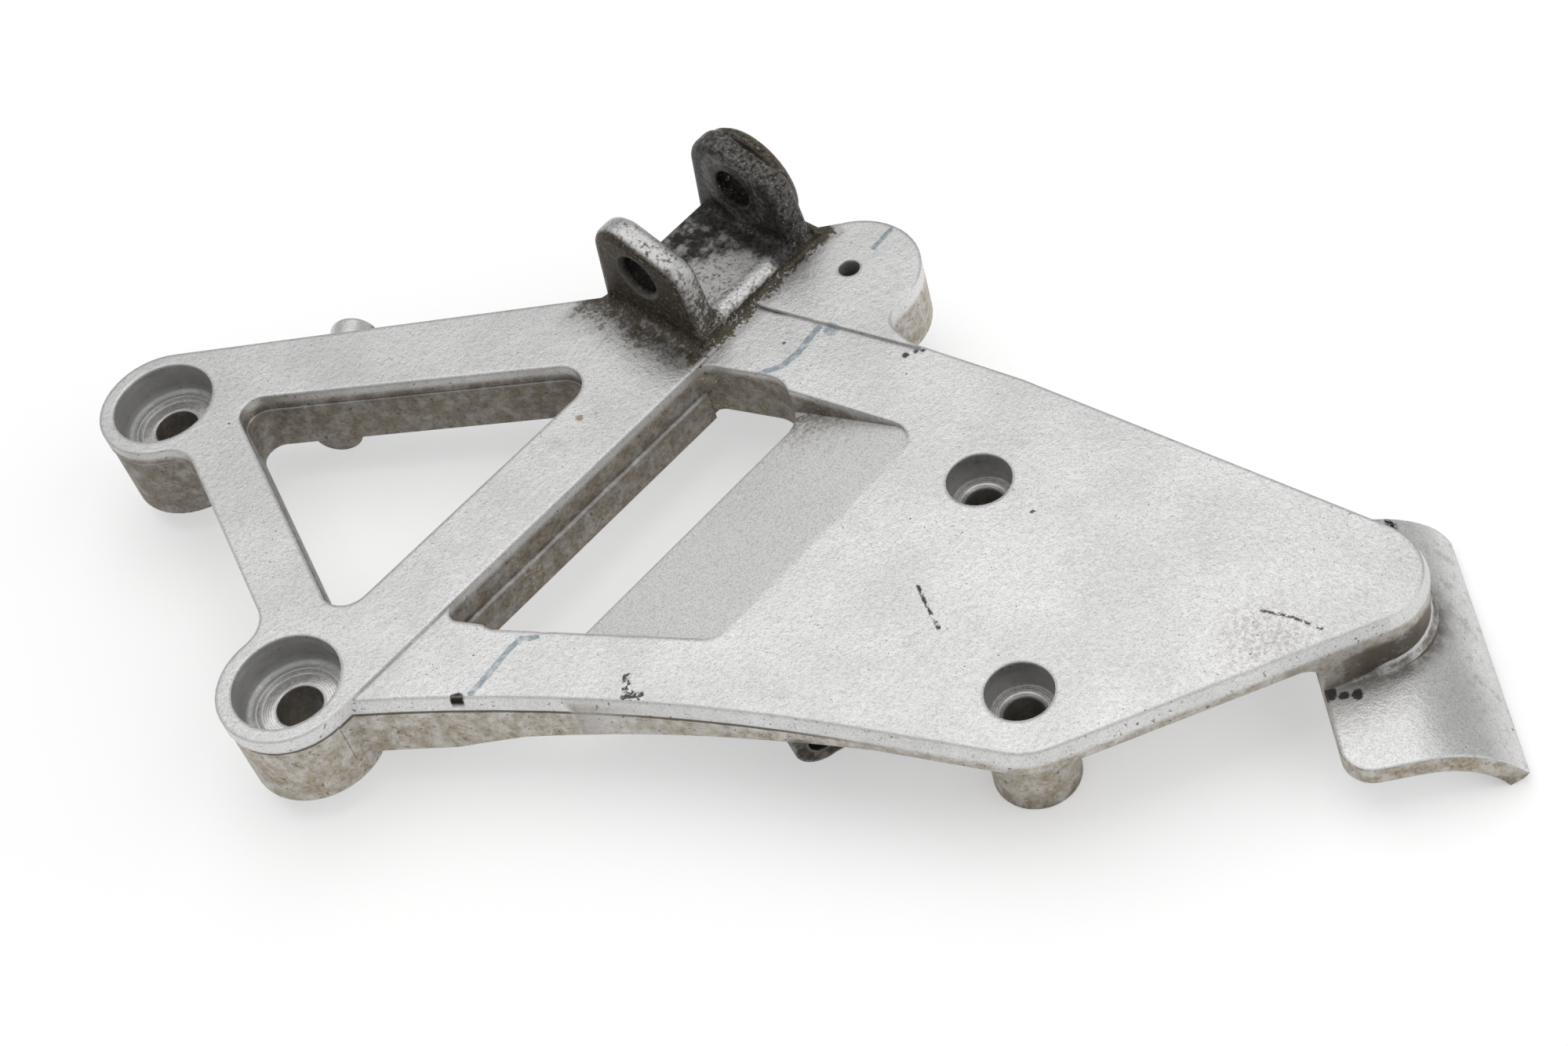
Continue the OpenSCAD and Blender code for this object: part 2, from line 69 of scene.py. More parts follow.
# Colours; a pair is mixed by one of the noises.
METAL = ((0.690, 0.687, 0.683, 1), (0.783, 0.779, 0.774, 1))
METAL_GRAIN = (0.44, 0.44, 0.435, 1)
METAL_CLOUD = (0.42, 0.40, 0.37, 1)
SCUFFED = (0.34, 0.33, 0.31, 1)
RUBBED_AND_HIGHLIGHT = (0.82, 0.815, 0.80, 1)
SLOPE_METAL = ((0.97, 0.97, 0.96, 1), (0.70, 0.70, 0.69, 1))
RINGS = ((0.46, 0.455, 0.445, 1), (0.80, 0.795, 0.78, 1))
POCKET_WALL = (0.46, 0.465, 0.47, 1)
BORE_WALL = (0.14, 0.13, 0.115, 1)
WORN_RING = (0.27, 0.262, 0.25, 1)
BORE_RIM = (0.12, 0.12, 0.12, 1)
FILM_DARK = ((0.130, 0.104, 0.072, 1), (0.240, 0.200, 0.145, 1))
FILM_PALE = ((0.300, 0.247, 0.170, 1), (0.500, 0.435, 0.330, 1))
FILM_SPECK = (0.075, 0.058, 0.040, 1)
GREASE_BROWN = ((0.036, 0.031, 0.024, 1), (0.125, 0.105, 0.076, 1))
GREASE_BLACK = ((0.012, 0.011, 0.010, 1), (0.055, 0.048, 0.040, 1))
LUG_BLACK = (0.030, 0.026, 0.021, 1)
CREVICE_SHADE_AND_GRIME = (0.075, 0.062, 0.048, 1)
PIT = (0.10, 0.085, 0.07, 1)
BIG_PIT = (0.060, 0.050, 0.040, 1)
SLOPE_DIRT = (0.13, 0.105, 0.075, 1)
ROOT_GRIME_AND_SHADE = (0.095, 0.078, 0.058, 1)
PARTING = (0.06, 0.048, 0.035, 1)
WALL_GOLD = (0.50, 0.42, 0.28, 1)
EAR_GOLD = (0.46, 0.40, 0.28, 1)
PEN_BLUE = (0.245, 0.305, 0.345, 1)
INK = (0.035, 0.033, 0.030, 1)
EDGE_BLACK = (0.022, 0.018, 0.012, 1)
CHIP = (0.03, 0.028, 0.025, 1)
SMEAR_BROWN = (0.25, 0.205, 0.15, 1)
RUST = (0.25, 0.16, 0.08, 1)
LOBE_BROWN = (0.27, 0.225, 0.165, 1)
TAB_BROWN = (0.22, 0.175, 0.125, 1)


class Tree:
    """Short calls for building one material's node tree."""

    def __init__(self, name):
        self.mat = bpy.data.materials.new(name)
        self.mat.use_nodes = True
        self.nodes = self.mat.node_tree.nodes
        self.links = self.mat.node_tree.links
        self.shader = next(n for n in self.nodes if n.type == "BSDF_PRINCIPLED")
        coord = self.nodes.new("ShaderNodeTexCoord")
        self.pos = coord.outputs["Object"]
        self.normal = coord.outputs["Normal"]

    def _set(self, socket, value):
        if isinstance(value, bpy.types.NodeSocket):
            self.links.new(value, socket)
        elif value is not None:
            socket.default_value = value

    def math(self, op, a, b=None, c=None, clamp=False):
        n = self.nodes.new("ShaderNodeMath")
        n.operation = op
        n.use_clamp = clamp
        for s, v in zip(n.inputs, (a, b, c)):
            self._set(s, v)
        return n.outputs[0]

    def vmath(self, op, a, b=None):
        n = self.nodes.new("ShaderNodeVectorMath")
        n.operation = op
        self._set(n.inputs[0], a)
        if b is not None:
            self._set(n.inputs[1], b)
        number = op in ("LENGTH", "DISTANCE", "DOT_PRODUCT")
        return n.outputs["Value"] if number else n.outputs[0]

    def scaled(self, vector, factor):
        n = self.nodes.new("ShaderNodeVectorMath")
        n.operation = "SCALE"
        n.inputs[0].default_value = vector
        self.links.new(factor, n.inputs["Scale"])
        return n.outputs[0]

    def ramp(self, value, lo, hi, out0=0.0, out1=1.0):
        """A smooth step from out0 at lo to out1 at hi."""
        n = self.nodes.new("ShaderNodeMapRange")
        n.interpolation_type = "SMOOTHSTEP"
        for s, v in zip(n.inputs, (value, lo, hi, out0, out1)):
            self._set(s, v)
        return n.outputs[0]

    def fade(self, value, lo, hi, out0=0.0, out1=1.0):
        """The same over a length, with lo and hi in millimetres."""
        return self.ramp(value, lo * MM, hi * MM, out0, out1)

    def band(self, value, lo, hi, soft):
        """1 between lo and hi, fading over soft; millimetres."""
        return self.all(self.fade(value, lo - soft, lo), self.fade(value, hi + soft, hi))

    def noise(self, scale, detail=4.0, rough=0.55, stretch=None):
        """Noise over the hanger; noises differ by their scales, not by an offset."""
        n = self.nodes.new("ShaderNodeTexNoise")
        place = self.pos
        if stretch:
            m = self.nodes.new("ShaderNodeMapping")
            m.inputs["Scale"].default_value = stretch
            self.links.new(self.pos, m.inputs["Vector"])
            place = m.outputs[0]
        self.links.new(place, n.inputs["Vector"])
        n.inputs["Scale"].default_value = scale
        n.inputs["Detail"].default_value = detail
        n.inputs["Roughness"].default_value = rough
        return n.outputs[0]

    def mix(self, factor, a, b):
        n = self.nodes.new("ShaderNodeMix")
        n.data_type = "RGBA"
        n.clamp_factor = True
        self._set(n.inputs[0], factor)
        self._set(n.inputs[6], a)
        self._set(n.inputs[7], b)
        return n.outputs[2]

    def xyz(self, vec):
        n = self.nodes.new("ShaderNodeSeparateXYZ")
        self.links.new(vec, n.inputs[0])
        return n.outputs

    def chain(self, op, masks):
        out = masks[0]
        for m in masks[1:]:
            out = self.math(op, out, m)
        return out

    def any(self, *masks):
        return self.chain("MAXIMUM", masks)

    def all(self, *masks):
        return self.chain("MULTIPLY", masks)

    def but(self, mask):
        """Everywhere outside the mask."""
        return self.math("SUBTRACT", 1.0, mask)

    def plus(self, a, b, share=1.0):
        return self.math("ADD", a, b if share == 1.0 else self.all(b, share))

    def less(self, a, b, share):
        return self.math("SUBTRACT", a, self.all(b, share))


class Casting(Tree):
    """Bare blasted aluminium with pits, scuffs, and crevices darkened by painted shade with grime;
    layers go on top of it.
    """

    GRAIN, FINE, MID, BROAD, RELIEF = 2300, 1050, 300, 42, 655    # noise scales
    WOBBLE = 1.2 * MM            # how far noise moves the border of a mark
    AO_REACH = 7 * MM
    EDGE_WIDTH = 1.2 * MM
    BUMP_HEIGHT = 0.11 * MM

    def __init__(self, name):
        super().__init__(name)
        self.x, self.y, self.z = self.xyz(self.pos)
        self.nx, _, self.nz = self.xyz(self.normal)
        self.grain = self.noise(self.GRAIN, 2, 0.6)
        self.fine = self.noise(self.FINE, 4, 0.65)
        self.mid = self.noise(self.MID, 5, 0.68)
        self.broad = self.noise(self.BROAD, 3, 0.55)
        self.wob = self.math("MULTIPLY_ADD", self.mid, 2 * self.WOBBLE, -self.WOBBLE)
        ao = self.nodes.new("ShaderNodeAmbientOcclusion")
        ao.samples = 4
        ao.inputs["Distance"].default_value = self.AO_REACH
        self.open = ao.outputs["AO"]
        self.dirt_and_shade = 0.0       # where dirt and the painted crevice shade hide the metal
        self.grease = 0.0     # where it also hides the rubbed edges and their painted highlight
        self.turned = 0.0     # where a tool has cut
        self.slope = 0.0      # the sloping floor, which is duller

        self.col = self.mix(self.ramp(self.broad, 0.34, 0.68), *METAL)
        self.lay(self.ramp(self.grain, 0.48, 0.70, 0, 0.55), METAL_GRAIN)
        self.lay(self.ramp(self.noise(150, 5, 0.7), 0.55, 0.75, 0, 0.22), METAL_CLOUD)
        across = self.ramp(self.noise(170, 3, 0.6, (1, 16, 1)), 0.64, 0.72)
        along = self.ramp(self.noise(150, 3, 0.6, (14, 1.5, 1)), 0.66, 0.74)
        self.lay(self.all(self.any(across, along), 0.16), SCUFFED)

    def lay(self, mask, colour):
        self.col = self.mix(mask, self.col, colour)

    def two(self, pair, lo=0.35, hi=0.70):
        return self.mix(self.ramp(self.fine, lo, hi), *pair)

    def above(self, level, over=1.0):
        """1 above a level in millimetres over the outer face, fading below it."""
        return self.ramp(self.z, TOP + (level - over) * MM, TOP + level * MM)

    def below(self, level, over=1.0):
        return self.ramp(self.z, TOP + (level + over) * MM, TOP + level * MM)

    def climb(self, low, high, out0=0.0, out1=1.0):
        """A smooth step between two levels over the outer face."""
        return self.ramp(self.z, TOP + low * MM, TOP + high * MM, out0, out1)

    def dust(self, gradient, sharp=0.16):
        """Grains that thin out as the gradient falls from 1 to 0."""
        mixed = self.plus(self.all(self.fine, 0.75), self.mid, 0.45)
        level = self.less(0.92, gradient, 0.62)
        grains = self.ramp(self.math("SUBTRACT", mixed, level), -sharp * 0.5, sharp * 0.5)
        return self.all(grains, self.ramp(gradient, 0.0, 0.15))

    def from_axis(self, x, y):
        """Distance from an upright axis through a point in millimetres."""
        flat = self.vmath("MULTIPLY", self.pos, (1, 1, 0))
        return self.vmath("DISTANCE", flat, (x * MM, y * MM, 0))

    def stroke(self, points, width, wobble):
        """Mask of a pen line or scratch through the points, seen from above."""
        flat = self.vmath("MULTIPLY", self.pos, (1, 1, 0))
        pts = [Vector((x * MM, y * MM, 0)) for x, y in points]
        parts = []
        for a, b in zip(pts, pts[1:]):
            d = b - a
            v = self.vmath("SUBTRACT", flat, a)
            share = self.math("DIVIDE", self.vmath("DOT_PRODUCT", v, d), d.length_squared,
                              clamp=True)
            parts.append(self.vmath("DISTANCE", v, self.scaled(d, share)))
        away = self.plus(self.chain("MINIMUM", parts), wobble)
        return self.fade(away, width / 2, width / 2 - 0.25)

    def spot(self, at, radius, wobble, soft=0.3):
        away = self.plus(self.from_axis(*at), wobble)
        return self.fade(away, radius + soft, radius - soft)

    def crevices(self, depth=0.80):
        # painted shade with grime: darkens the creases and hollows that the ambient occlusion
        # finds, more so below the outer face
        shut = self.all(self.ramp(self.open, 0.90, 0.40), self.climb(0.5, -3, 0.45, 1.0))
        shut = self.all(shut, self.ramp(self.mid, 0.30, 0.60, 0.30, 0.95))
        self.lay(self.all(shut, depth), CREVICE_SHADE_AND_GRIME)
        self.dirt_and_shade = self.any(self.dirt_and_shade, shut)

    def sloping_floor(self):
        """The slot's sloping floor is paler and duller than the plate."""
        left = self.plus(self.x, self.y, 0.6)
        self.slope = self.all(self.band(self.y, -78, SLOT_TOP, 0.8), self.fade(left, 14.5, 15.8),
                              self.ramp(self.nz, 0.955, 0.968), self.ramp(self.nz, 0.998, 0.993))
        pale = self.mix(self.ramp(self.grain, 0.42, 0.66), *SLOPE_METAL)
        self.lay(self.all(self.slope, 0.85), pale)

    def pits(self):
        small = self.ramp(self.noise(1350, 2, 0.5), 0.715, 0.75)
        self.lay(self.all(small, self.ramp(self.broad, 0.30, 0.62, 0.25, 1.0)), PIT)
        self.lay(self.all(self.ramp(self.noise(430, 3, 0.6), 0.735, 0.755), 0.9), BIG_PIT)

    def spread(self, brown, black=None):
        """Brown grease, with black grease over it."""
        self.lay(brown, self.two(GREASE_BROWN))
        self.grease = self.any(self.grease, self.all(brown, 0.7))
        if black is not None:
            self.lay(black, self.two(GREASE_BLACK, 0.42, 0.72))
            self.grease = self.any(self.grease, black)

    def spilled(self):
        """Grease round the clevis's feet, on the faces and walls beside it."""
        foot = self.all(self.band(self.x, 113, 160, 3.0), self.fade(self.y, -19.0, -12.6),
                        self.fade(self.y, -8.6, -11.4), self.above(-2, 2), self.below(1.2, 1.4))
        near = self.all(self.fade(self.x, 99, 117), self.fade(self.x, 119, 117.4),
                        self.band(self.y, -13, 21, 5.0), self.above(0, 0.6))
        far = self.all(self.fade(self.x, 164, 157), self.fade(self.x, 154, 155.5),
                       self.band(self.y, -14, 20, 3.0), self.above(0, 0.6))
        lip = self.any(self.dust(self.all(foot, 0.70)), 0.30)
        self.spread(self.any(self.all(self.ramp(foot, 0.0, 0.55), lip),
                             self.dust(self.all(near, 0.80), 0.42),
                             self.all(self.math("POWER", near, 1.6), 0.72),
                             self.dust(self.all(far, 0.82), 0.40)))

    def edge_spot(self):
        """Black spot that runs over the arm's upper edge."""
        mask = self.spot(*EDGE_SPOT, self.all(self.wob, 0.9))
        self.lay(self.all(mask, self.above(-2.2, 1.4)), EDGE_BLACK)

    def root_zone(self):
        """Round the joint of the heel tab and the end of the plate."""
        return self.fade(self.from_axis(*PLATE_END), 19.5, 14.0)

    def finish(self):
        """Rubbed edges with a painted highlight along them, gloss and relief."""
        bevel = self.nodes.new("ShaderNodeBevel")
        bevel.samples = 4
        bevel.inputs["Radius"].default_value = self.EDGE_WIDTH
        geometry = self.nodes.new("ShaderNodeNewGeometry")
        bend = self.vmath("DOT_PRODUCT", bevel.outputs[0], geometry.outputs["True Normal"])
        edge = self.all(self.ramp(bend, 0.99, 0.88), self.ramp(self.open, 0.70, 0.90),
                        self.ramp(self.fine, 0.30, 0.55, 0.3, 1.0),
                        self.less(1.0, self.grease, 0.8))
        # painted highlight with wear: a pale line along the edges the bevel finds, where they are
        # open and not greasy
        self.lay(self.all(edge, 0.45), RUBBED_AND_HIGHLIGHT)

        rough = self.plus(self.ramp(self.fine, 0.3, 0.7, 0.31, 0.45), self.dirt_and_shade, 0.10)
        rough = self.less(self.less(rough, edge, 0.08), self.turned, 0.12)
        dull = self.any(self.dirt_and_shade, self.grease, self.all(self.slope, 0.8))
        metal = self.math("SUBTRACT", 0.90, self.all(dull, 0.65), clamp=True)

        bump = self.nodes.new("ShaderNodeBump")
        relief = self.plus(self.noise(self.RELIEF, 3, 0.6), self.noise(self.GRAIN, 2, 0.6), 0.7)
        self.links.new(relief, bump.inputs["Height"])
        self.links.new(self.less(0.80, self.turned, 0.6), bump.inputs["Strength"])
        bump.inputs["Distance"].default_value = self.BUMP_HEIGHT
        self.links.new(bevel.outputs[0], bump.inputs["Normal"])
        self.links.new(bump.outputs[0], self.shader.inputs["Normal"])
        self.links.new(self.col, self.shader.inputs["Base Color"])
        self.links.new(rough, self.shader.inputs["Roughness"])
        self.links.new(metal, self.shader.inputs["Metallic"])
        self.shader.inputs["Specular IOR Level"].default_value = 0.1
        return self.mat


def outer_faces():
    """The flat outer faces: pen lines, ink spots, scratches and spilled grease."""
    t = Casting("cast_face")
    t.crevices(0.55)
    t.pits()
    t.sloping_floor()
    # dirt gathered at the head of the sloping floor, by the clevis
    head = t.all(t.fade(t.y, -70, -34), t.fade(t.x, 98, 120), t.below(-3.0, 3.0),
                 t.fade(t.y, SLOT_TOP + 0.8, SLOT_TOP))
    t.lay(t.dust(t.all(head, 0.55), 0.45), SLOPE_DIRT)
    t.spilled()

    wob = t.math("MULTIPLY_ADD", t.fine, t.WOBBLE, -t.WOBBLE / 2)
    wide_wob = t.all(t.wob, 3.0)
    ragged = t.ramp(t.noise(520, 4, 0.7), 0.42, 0.52)
    on_top = t.above(-3, 2)
    pen = t.any(*(t.stroke(*line, wob) for line in PEN_LINES), t.spot(*PEN_BLOT, wob))
    worn = t.ramp(t.noise(620, 3, 0.6), 0.30, 0.60, 0.35, 0.85)
    t.lay(t.all(pen, on_top, worn), PEN_BLUE)
    ink = t.any(*(t.spot(*dot, wob) for dot in INK_SPOTS),
                t.all(t.stroke(*INK_SMUDGE, wob), t.ramp(t.fine, 0.47, 0.53)),
                *(t.all(t.stroke(*line, wob), ragged) for line in INK_CHIPS),
                t.all(t.stroke(*END_SCRATCH, wob), t.ramp(t.fine, 0.45, 0.52)))
    t.lay(t.all(ink, on_top, 0.92), INK)
    smear = t.all(t.spot(*SMEAR, wide_wob, 6.0), on_top)
    t.lay(t.all(smear, t.ramp(t.fine, 0.40, 0.65, 0.05, 0.38)), SMEAR_BROWN)
    t.lay(t.all(t.spot(*RUST_DOT, wob), on_top, 0.7), RUST)
    lobe = t.all(t.spot(*LOBE_STAIN, wide_wob, 12.0), on_top)
    t.lay(t.all(lobe, t.ramp(t.mid, 0.44, 0.66, 0, 0.42)), LOBE_BROWN)
    t.edge_spot()
    tab_marks(t, wob)
    return t.finish()


def tab_marks(t, wob):
    """Chips on the heel tab's upper edge, dots and grime with painted shade by its root, a stain on
    its side.
    """
    out = t.vmath("DOT_PRODUCT", t.pos, TAB_OUT)
    along = t.vmath("DOT_PRODUCT", t.pos, TAB_ALONG)
    on_tab = t.below(-14.4, 0.8)
    chips = t.all(on_tab, t.band(t.plus(along, wob), -5.2, -1.0, 0.4),
                  t.band(out, 205, 229, 1.5), t.ramp(t.noise(317, 4, 0.7), 0.47, 0.53),
                  t.ramp(t.fine, 0.36, 0.46))
    ragged = t.plus(wob, t.wob, 1.1)
    dots = t.any(*(t.spot(*dot, ragged) for dot in TAB_DOTS))
    t.lay(t.any(chips, t.all(on_tab, dots, 0.9)), CHIP)
    # grime with painted shade round the tab's root, under the end of the plate
    root = t.all(t.root_zone(), on_tab)
    t.lay(t.all(root, t.ramp(t.mid, 0.32, 0.62, 0.25, 0.88)), ROOT_GRIME_AND_SHADE)
    stain = t.ramp(t.noise(260, 5, 0.7), 0.50, 0.68, 0, 0.45)
    t.lay(t.all(on_tab, t.fade(out, 231, 238), stain), TAB_BROWN)


def walls():
    """Walls, bores and head pockets: brown film, parting line, turned rings."""
    t = Casting("cast_wall")
    wall = t.ramp(t.math("ABSOLUTE", t.nz), 0.72, 0.30)
    in_triangle = t.all(t.fade(t.y, 1.6, 2.6), t.fade(t.x, 112, 106))
    in_slot = t.all(t.fade(t.y, -74, -44), t.fade(t.y, SLOT_TOP + 0.8, SLOT_TOP),
                    t.band(t.x, *SLOT_X, 1))
    inner = t.any(in_triangle, in_slot)
    heavy = t.all(wall, inner, t.climb(-1.6, -3.4, 0.35, 1.0))
    thin = t.all(wall, t.but(inner), t.below(-5.0, 1.9))
    cover = t.plus(t.ramp(t.mid, 0.34, 0.64, 0.30, 0.82), t.climb(-4, -16), 0.12)
    film = t.any(t.all(heavy, t.ramp(t.mid, 0.30, 0.62, 0.62, 0.92)), t.all(thin, cover))
    t.lay(film, t.mix(inner, t.two(FILM_PALE, 0.35, 0.65), t.two(FILM_DARK, 0.35, 0.65)))
    t.lay(t.all(wall, t.ramp(t.noise(900, 3, 0.6), 0.62, 0.70), 0.75), FILM_SPECK)
    t.dirt_and_shade = film
    t.grease = t.all(heavy, 0.9)
    t.crevices()
    t.sloping_floor()
    t.lay(t.all(heavy, in_slot, t.ramp(t.noise(1430, 3, 0.6), 0.57, 0.64),
                t.ramp(t.noise(120, 3, 0.6), 0.48, 0.60)), WALL_GOLD)
    # parting line round the frame bosses
    line = t.band(t.plus(t.z, t.wob, 0.12), 17.6, 18.2, 0.2)
    t.lay(t.all(wall, line, t.fade(t.x, 62, 50), t.but(inner), 0.85), PARTING)
    t.pits()
    t.spilled()
    t.edge_spot()
    pockets(t)
    # brown grime with painted shade where the heel tab joins the end of the plate
    root = t.all(t.root_zone(), t.below(-8, 2.8), t.ramp(t.nz, -0.6, -0.2))
    shade = t.ramp(t.plus(t.mid, root, 0.25), 0.42, 0.72, 0.25, 0.88)
    t.lay(t.all(root, shade), ROOT_GRIME_AND_SHADE)
    # the lug under the edge is black with grease
    centre = (LUG[0] * MM, LUG[1] * MM, TOP + LUG[2] * MM)
    lug = t.all(t.fade(t.vmath("DISTANCE", t.pos, centre), 9.5, 8.0), t.below(-6.4, 1.2))
    t.lay(t.all(lug, t.ramp(t.mid, 0.3, 0.6, 0.75, 0.97)), LUG_BLACK)
    return t.finish()


def pockets(t):
    """Head pockets with bright turned rings in them, and bore walls darkened below the seat."""
    ring_pitch = 11500       # radians a metre
    floor, shoulder = -9.2, -7.9
    # bolts, seat radius, pocket radius, bore radius, how far the clean wall fades
    for bolts, reach, wall_r, bore_r, soft in ((FRAME_BOLTS, 9.6, 10.2, 5.3, 0.3),
                                               (OUTRIGGER_BOLTS, 6.9, 6.8, 4.3, 0.1)):
        for at in bolts:
            d = t.from_axis(*at)
            side = t.all(t.band(d, wall_r, wall_r + 1.9, soft), t.above(-8.3, 0.5),
                         t.below(-1.0, 0.5))
            t.lay(t.all(side, t.ramp(t.mid, 0.35, 0.6, 0.35, 0.75)), POCKET_WALL)
            hole = t.all(t.fade(d, bore_r + 0.15, bore_r), t.below(floor, 0.6))
            t.lay(t.all(hole, 0.5), BORE_WALL)
            seat = t.all(t.band(d, bore_r + 0.2, reach, 0.15), t.above(floor, 0.1),
                         t.below(shoulder, 0.1))
            wave = t.math("SINE", t.all(d, ring_pitch))
            rings = t.mix(t.math("MULTIPLY_ADD", wave, 0.5, 0.5), *RINGS)
            t.lay(t.all(seat, t.ramp(t.fine, 0.3, 0.6, 0.5, 0.9)), rings)
            t.turned = t.any(t.turned, seat)


def clevis():
    """The clevis: black and brown grease, worn ring round the pin, gold flecks on the rims."""
    t = Casting("cast_clevis")
    t.crevices()
    t.pits()
    face = t.ramp(t.math("ABSOLUTE", t.nx), 0.60, 0.85)
    rim = t.but(face)
    on_ear = t.above(2.2, 1.4)
    far_in = t.all(face, t.band(t.x, 146.5, 150.5, 0.4), on_ear)
    near_in = t.all(face, t.band(t.x, 122.5, 125.5, 0.4), on_ear)
    near_out = t.all(face, t.band(t.x, 113, 118.6, 0.5))
    far_out = t.all(face, t.band(t.x, 154.5, 160, 0.4), on_ear)
    far_rim = t.all(rim, t.band(t.x, 148, 160, 0.8), on_ear)
    near_rim = t.all(rim, t.band(t.x, 115, 125, 0.8), on_ear)
    from_pin = t.vmath("SUBTRACT", t.pos, (0, PIN[0] * MM, TOP + PIN[1] * MM))
    from_pin = t.vmath("LENGTH", t.vmath("MULTIPLY", from_pin, (0, 1, 1)))
    base = t.all(t.band(t.x, 123, 150, 0.8), t.band(t.y, -9, 21, 1.2), t.above(2.2, 1.2),
                 t.below(4.5, 2.0))
    # on the base the grease keeps to the rear of a slanting edge
    slant = t.plus(t.all(t.y, 0.80), t.x, 0.60)
    slant = t.fade(t.plus(slant, t.wob, 2.0), 81.5, 86.5)
    rim_dust = t.dust(t.climb(26, 2, 0.40, 0.64), 0.24)
    rim_film = t.climb(24, 0, 0.20, 0.50)
    lip = t.all(t.band(t.x, 123, 149, 1.5), t.fade(t.y, -6.5, -8.5))
    far_foot = t.all(t.band(t.plus(t.x, t.wob, 3.0), 144.5, 152, 3.0), t.above(1.5),
                     t.below(9.5, 3))
    brown = t.any(t.all(near_out, t.ramp(t.fine, 0.30, 0.70, 0.98, 0.72)),
                  t.all(base, t.any(t.dust(0.46, 0.30), 0.30)),
                  t.all(lip, t.dust(0.40, 0.30)),
                  t.all(near_rim, t.any(rim_dust, rim_film)),
                  t.all(far_rim, 0.55))
    black = t.any(t.all(far_in, t.ramp(t.fine, 0.30, 0.72, 0.99, 0.86)),
                  t.all(far_out, 0.93),
                  t.all(far_rim, t.ramp(t.fine, 0.34, 0.66, 0.96, 0.62)),
                  t.all(far_foot, t.ramp(t.fine, 0.30, 0.70, 0.98, 0.84)),
                  t.all(near_in, 0.9),
                  t.fade(from_pin, 5.9, 5.2),
                  t.all(base, slant, t.ramp(t.mid, 0.34, 0.56, 0.35, 0.97)))
    t.spread(brown, black)
    t.spilled()
    gold = t.all(t.any(far_rim, near_out), t.ramp(t.noise(1500, 3, 0.6), 0.62, 0.68), 0.8)
    t.lay(gold, EAR_GOLD)
    ring = t.all(t.band(t.plus(from_pin, t.wob, 0.35), 7.4, 9.4, 0.7),
                 t.ramp(t.fine, 0.40, 0.62, 0.1, 0.6))
    t.lay(t.all(ring, t.any(far_in, t.all(near_in, 0.5))), WORN_RING)
    t.lay(t.all(t.band(from_pin, 5.3, 6.4, 0.2), near_out, 0.7), BORE_RIM)
    return t.finish()


def dress(obj):
    """One material for the outer faces, one for the clevis and one for walls and hollows."""
    mesh = obj.data
    mesh.materials.clear()
    for mat in (outer_faces(), clevis(), walls()):
        mesh.materials.append(mat)
    face_slot, clevis_slot, wall_slot = range(3)
    flat = 0.7               # a face whose normal's z is over this lies flat
    turned_down = 0.3        # the same on the curved side of the heel tab
    for poly in mesh.polygons:
        x, y, z = poly.center
        up = poly.normal.z
        on_tab = x * TAB_OUT[0] + y * TAB_OUT[1] > TAB_START * MM
        on_clevis = z > TOP + 0.5 * MM or (z > TOP - 0.2 * MM and abs(up) < flat)
        high = z > TOP - 7.6 * MM
        if on_clevis:
            poly.material_index = clevis_slot
        elif up > flat and (high or on_tab) or on_tab and up > turned_down:
            poly.material_index = face_slot
        else:
            poly.material_index = wall_slot


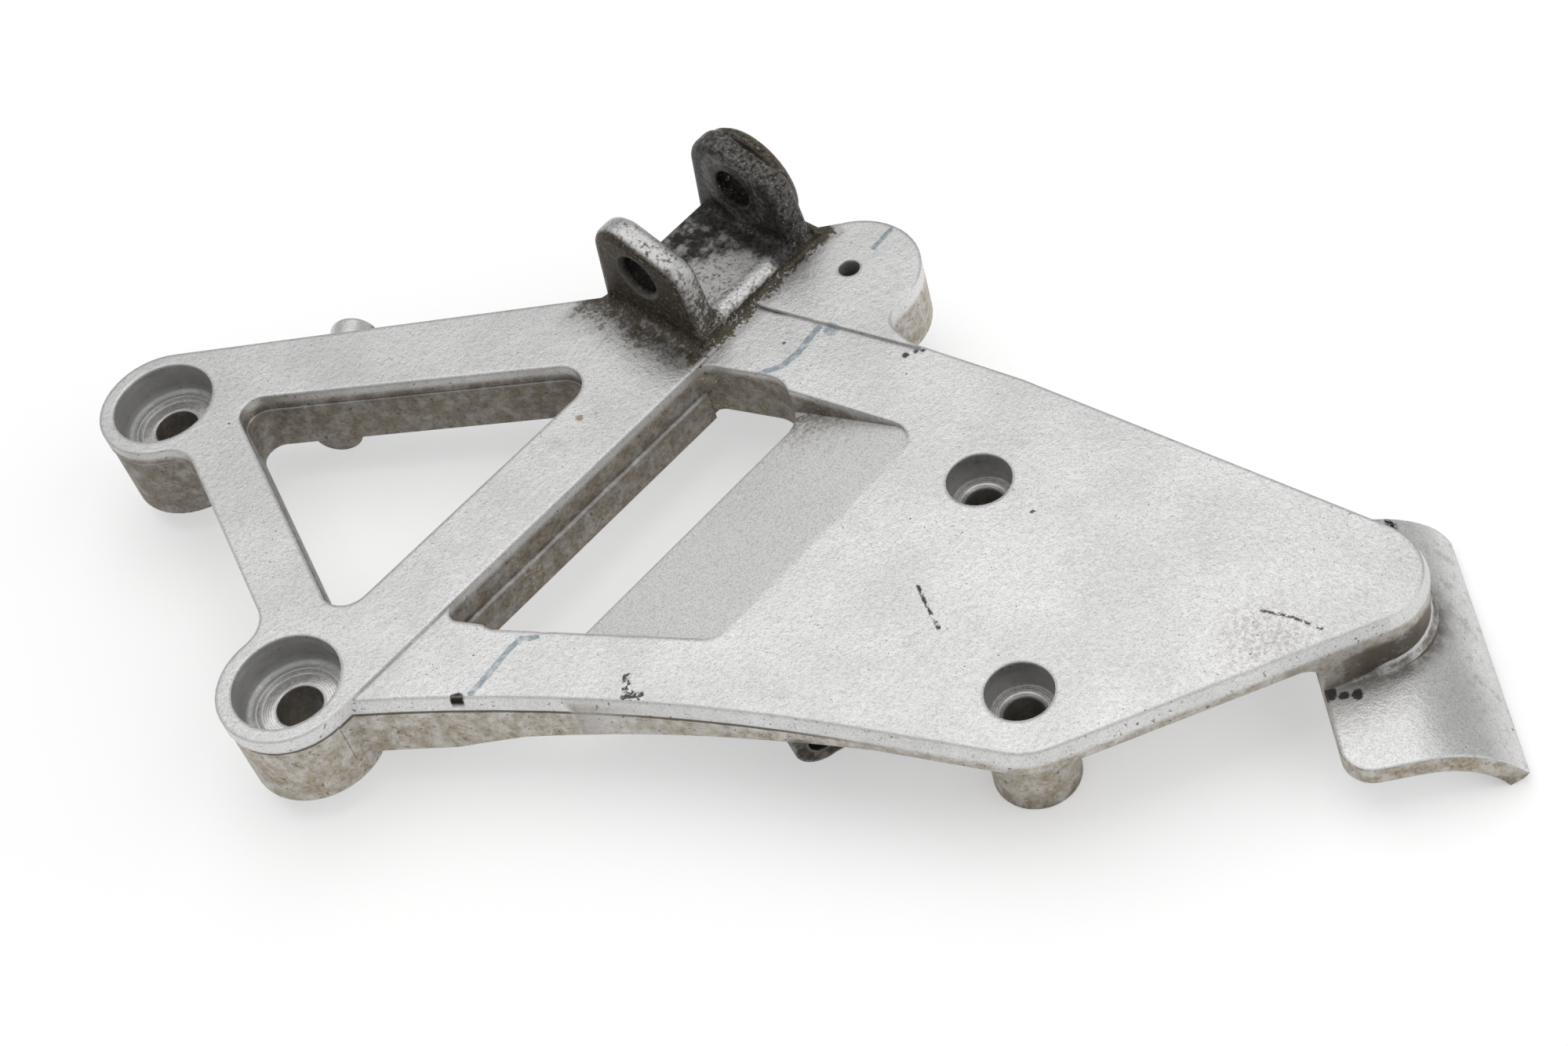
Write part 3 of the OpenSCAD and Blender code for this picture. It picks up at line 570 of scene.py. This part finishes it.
def paper_floor():
    """White paper; its own faint light, for the eye and for reflections, makes it white."""
    mat = bpy.data.materials.new("paper")
    mat.use_nodes = True
    nodes, links = mat.node_tree.nodes, mat.node_tree.links
    paper = next(n for n in nodes if n.type == "BSDF_PRINCIPLED")
    paper.inputs["Base Color"].default_value = (0.93, 0.93, 0.93, 1)
    paper.inputs["Roughness"].default_value = 0.9
    paper.inputs["Specular IOR Level"].default_value = 0.0
    path = nodes.new("ShaderNodeLightPath")
    seen = nodes.new("ShaderNodeMath")
    seen.operation = "MAXIMUM"
    links.new(path.outputs["Is Camera Ray"], seen.inputs[0])
    links.new(path.outputs["Is Glossy Ray"], seen.inputs[1])
    power = nodes.new("ShaderNodeMath")
    power.operation = "MULTIPLY"
    links.new(seen.outputs[0], power.inputs[0])
    power.inputs[1].default_value = 0.32
    glow = nodes.new("ShaderNodeEmission")
    links.new(power.outputs[0], glow.inputs["Strength"])
    both = nodes.new("ShaderNodeAddShader")
    links.new(paper.outputs[0], both.inputs[0])
    links.new(glow.outputs[0], both.inputs[1])
    surface = next(n for n in nodes if n.type == "OUTPUT_MATERIAL").inputs["Surface"]
    links.new(both.outputs[0], surface)
    bpy.ops.mesh.primitive_plane_add(size=12, location=(0.08, -0.06, before[0][2]))
    floor = bpy.context.object
    floor.name = "paper_floor"
    floor.data.materials.append(mat)


def studio_world():
    world = bpy.data.worlds.new("studio")
    bpy.context.scene.world = world
    world.use_nodes = True
    sky = world.node_tree.nodes["Background"]
    sky.inputs["Color"].default_value = (1, 1, 1, 1)
    sky.inputs["Strength"].default_value = 0.42


def soft_box(name, at, size, power):
    """A rectangular lamp that looks at the middle of the hanger."""
    data = bpy.data.lights.new(name, "AREA")
    data.shape = "RECTANGLE"
    data.size, data.size_y = size
    data.energy = power
    lamp = bpy.data.objects.new(name, data)
    bpy.context.scene.collection.objects.link(lamp)
    lamp.location = at
    aim = Vector((0.08, -0.05, 0.0)) - Vector(at)
    lamp.rotation_euler = aim.to_track_quat("-Z", "Y").to_euler()


def photo_camera():
    """The camera solved from the photograph's round openings."""
    data = bpy.data.cameras.new("photo_camera")
    data.sensor_width = 36.0
    data.lens = 59.72
    data.clip_start = 0.01
    cam = bpy.data.objects.new("photo_camera", data)
    bpy.context.scene.collection.objects.link(cam)
    right = Vector((0.652935, -0.729823, -0.202571))
    down = Vector((-0.658402, -0.414696, -0.628120))
    ahead = Vector((0.374411, 0.543495, -0.751286))
    turn = Matrix((right, -down, -ahead)).transposed().to_4x4()
    cam.matrix_world = Matrix.Translation((-0.11295, -0.35540, 0.42788)) @ turn
    bpy.context.scene.camera = cam


dress(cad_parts["hanger"])
paper_floor()
studio_world()
soft_box("overhead", (0.30, 0.30, 1.35), (1.5, 1.5), 7.0)
soft_box("front", (0.62, -1.05, 0.80), (1.5, 1.1), 4.0)
photo_camera()
bpy.context.scene.view_settings.view_transform = "Standard"
